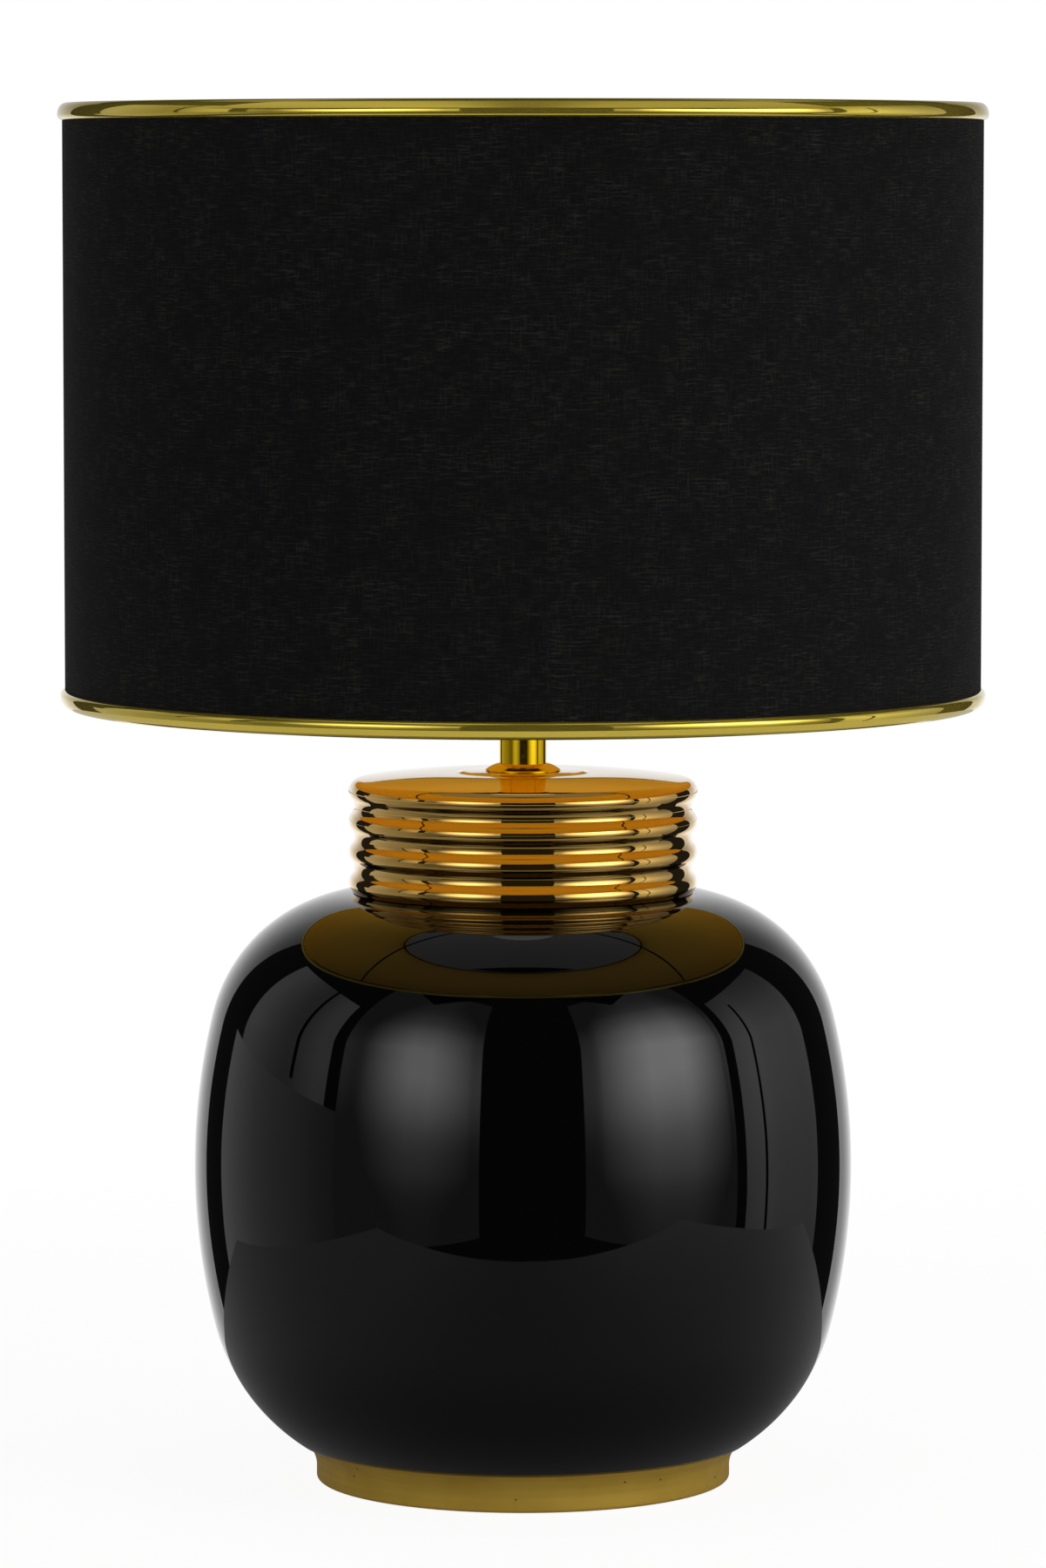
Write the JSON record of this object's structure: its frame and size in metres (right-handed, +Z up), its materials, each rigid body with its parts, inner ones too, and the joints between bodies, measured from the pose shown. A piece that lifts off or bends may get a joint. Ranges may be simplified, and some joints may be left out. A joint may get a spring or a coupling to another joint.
{
  "type": "table lamp",
  "caption": "Table lamp: glossy black jar on a brass foot, ribbed gold neck cap, and a black drum shade that turns on a screw lampholder with a bulb.",
  "frame": {"origin": "centre of the felt pad's underside, where the lamp stands", "axes": "+Z up the lamp's axis, front towards -Y, cord grommet at the back on +Y"},
  "size_m": [0.4041, 0.4042, 0.6037],
  "materials": {
    "felt": "pressed felt",
    "satin_brass": "satin antique",
    "black_plastic": "matt",
    "zinc_steel": "zinc plated",
    "black_glaze": "high gloss",
    "gold_plate": "mirror gold plating",
    "polished_brass": "polished",
    "holder_plastic": "fine satin",
    "porcelain": "glazed",
    "contact_brass": "plain",
    "shade_cloth": "slubbed weave",
    "gold_foil": "metallised foil",
    "gold_trim": "mirror metallised",
    "coated_wire": "powder coated",
    "solder": "tinned",
    "black_glass": "gloss",
    "bulb_nickel": "nickel plated",
    "bulb_plastic": "satin",
    "opal_diffuser": "opal"
  },
  "bodies": {
    "base": {"felt_pad": "felt", "foot": "satin_brass", "cord_grommet": "black_plastic", "threaded_rod": "zinc_steel", "base_nut": "zinc_steel", "base_lock_washer": "zinc_steel", "base_washer": "zinc_steel", "jar_body": "black_glaze", "neck_cap": "gold_plate", "neck_collar": "polished_brass", "neck_tube": "polished_brass", "holder_cap": "holder_plastic", "holder_grub_screw": "zinc_steel", "holder_core": "porcelain", "holder_skirt": "holder_plastic", "centre_contact": "contact_brass", "side_contact": "contact_brass", "terminal_blocks": "contact_brass", "terminal_screws": "zinc_steel", "shade_ring_lower": "holder_plastic"},
    "shade": {"shade_fabric": "shade_cloth", "shade_liner": "gold_foil", "shade_bottom_trim": "gold_trim", "shade_top_trim": "gold_trim", "shade_bottom_wire": "coated_wire", "shade_top_wire": "coated_wire", "fitter_ring": "coated_wire", "fitter_arms": "coated_wire"},
    "shade_ring": {"shade_ring_upper": "holder_plastic"},
    "bulb": {"bulb_contact": "solder", "bulb_insulator": "black_glass", "bulb_cap": "bulb_nickel", "bulb_housing": "bulb_plastic", "bulb_globe": "opal_diffuser"}
  },
  "joints": [
    {"name": "shade_turn", "type": "hinge", "parent": "base", "child": "shade", "pos_m": [0, 0, 0.3657], "axis": [0, 0, 1], "continuous": true},
    {"name": "shade_ring_unscrew", "type": "slide", "parent": "base", "child": "shade_ring", "axis": [0, 0, 1], "range_m": [0, 0.018]},
    {"name": "bulb_unscrew", "type": "slide", "parent": "base", "child": "bulb", "axis": [0, 0, 1], "range_m": [0, 0.24]}
  ]
}
